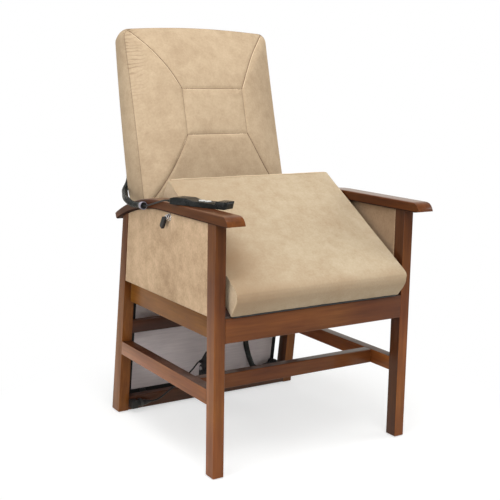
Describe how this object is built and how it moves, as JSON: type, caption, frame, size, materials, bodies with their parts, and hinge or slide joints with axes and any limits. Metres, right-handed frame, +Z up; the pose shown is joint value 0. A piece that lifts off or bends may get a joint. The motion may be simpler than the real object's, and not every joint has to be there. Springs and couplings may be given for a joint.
{
  "type": "lift recliner chair",
  "caption": "High-seat wooden armchair with a powered seat that tips forward to help a sitter stand and a padded back that reclines.",
  "frame": {"origin": "on the floor, at the centre of the chair's footprint box without its cords", "axes": "+Z up, -Y towards the front of the chair, +X to the right as seen from the front; the seat is stored raised and the back upright"},
  "size_m": [0.6353, 0.7643, 1.0998],
  "materials": {
    "stained_beech": "walnut-stained beech under satin lacquer",
    "tan_suede": "mottled tan faux suede",
    "grey_lining": "board covered in grey woven lining",
    "black_tape": "woven black edging tape",
    "plywood": "birch plywood",
    "zinc_steel": "bright zinc-plated steel",
    "black_steel": "black powder-coated steel",
    "dark_grey_enamel": "grey powder-coated steel tube",
    "black_plastic": "fine-grained black plastic",
    "black_cable": "soft black PVC sheath",
    "ribbed_plastic": "ribbed dark grey plastic",
    "lilac_plastic": "pale lilac-grey plastic",
    "grey_face": "dark grey label sheet",
    "pale_button": "pale grey moulded buttons",
    "chrome": "polished chrome plate",
    "black_rubber": "moulded glide"
  },
  "bodies": {
    "frame": {"front_leg_left": "stained_beech", "front_leg_right": "stained_beech", "rear_leg_left": "stained_beech", "rear_leg_right": "stained_beech", "foot_glides": "black_rubber", "front_rail": "stained_beech", "side_apron_left": "stained_beech", "side_apron_right": "stained_beech", "rear_mid_rail": "stained_beech", "rear_bottom_rail": "stained_beech", "side_stretcher_left": "stained_beech", "side_stretcher_right": "stained_beech", "cross_stretcher": "stained_beech", "armrest_left": "stained_beech", "armrest_right": "stained_beech", "side_panel_left": "tan_suede", "side_panel_right": "tan_suede", "rear_cover": "grey_lining", "cover_binding": "black_tape", "cover_brackets": "black_steel", "seat_hinge_lower_leaf": "black_steel", "actuator_bracket": "black_steel", "frame_pivot_pins": "zinc_steel", "gas_spring_bracket": "black_steel", "gas_spring_cylinder": "black_steel", "back_hinge_plates": "black_steel", "control_box": "black_plastic", "power_inlet": "black_plastic", "lead_coupler": "black_plastic", "lead_clip": "black_steel", "power_lead": "black_cable", "conduit_lower": "ribbed_plastic", "conduit_upper": "ribbed_plastic", "conduit_collar": "lilac_plastic", "handset_wire": "black_cable", "handset_body": "black_plastic", "handset_face": "grey_face", "lever_bush": "chrome", "frame_screws": "zinc_steel"},
    "seat": {"seat_hinge_upper_leaf": "black_steel", "seat_hinge_pin": "black_steel", "seat_board": "plywood", "seat_cushion": "tan_suede", "seat_lift_bracket": "black_steel"},
    "actuator": {"motor_housing": "black_plastic", "actuator_tube": "dark_grey_enamel"},
    "push_rod": {"actuator_rod": "zinc_steel", "actuator_upper_pin": "zinc_steel"},
    "backrest": {"back_shaft": "zinc_steel", "back_uprights": "black_steel", "back_crossbars": "black_steel", "back_lever": "black_steel", "outer_back": "tan_suede", "back_cushion": "tan_suede", "conduit_clip": "black_plastic"},
    "gas_rod": {"gas_spring_rod": "zinc_steel"},
    "lever": {"release_lever": "chrome", "release_grip": "black_plastic"},
    "up_button": {"button_up": "pale_button"},
    "down_button": {"button_down": "pale_button"}
  },
  "joints": [
    {"name": "seat_lift", "type": "hinge", "parent": "frame", "child": "seat", "pos_m": [0, -0.31682, 0.4002], "axis": [-1, 0, 0], "range_deg": [0, 32.8]},
    {"name": "actuator_swing", "type": "hinge", "parent": "frame", "child": "actuator", "pos_m": [-0.03, 0.20368, 0.1], "axis": [1, 0, 0], "range_deg": [0, 7.5], "deforming": ["power_lead"]},
    {"name": "actuator_extend", "type": "slide", "parent": "actuator", "child": "push_rod", "axis": [0, 0.6582, -0.7528], "range_m": [0, 0.099]},
    {"name": "back_recline", "type": "hinge", "parent": "frame", "child": "backrest", "pos_m": [0, 0.19168, 0.43], "axis": [-1, 0, 0], "range_deg": [0, 25], "deforming": ["conduit_upper", "conduit_lower"]},
    {"name": "gas_spring_stroke", "type": "slide", "parent": "frame", "child": "gas_rod", "axis": [0, -1, 0], "range_m": [0, 0.033]},
    {"name": "recline_lever", "type": "hinge", "parent": "frame", "child": "lever", "pos_m": [-0.3, -0.08832, 0.612], "axis": [1, 0, 0], "range_deg": [0, 30], "stiffness_Nm_per_rad": 0.15},
    {"name": "button_up_press", "type": "slide", "parent": "frame", "child": "up_button", "axis": [0, 0, -1], "range_m": [0, 0.001], "stiffness_N_per_m": 600},
    {"name": "button_down_press", "type": "slide", "parent": "frame", "child": "down_button", "axis": [0, 0, -1], "range_m": [0, 0.001], "stiffness_N_per_m": 600}
  ],
  "couplings": [
    {"joint": "actuator_swing", "follows": "seat_lift", "ratio": 0.223},
    {"joint": "actuator_extend", "follows": "seat_lift", "m_per_rad": 0.17055},
    {"joint": "gas_spring_stroke", "follows": "back_recline", "m_per_rad": 0.07441}
  ]
}
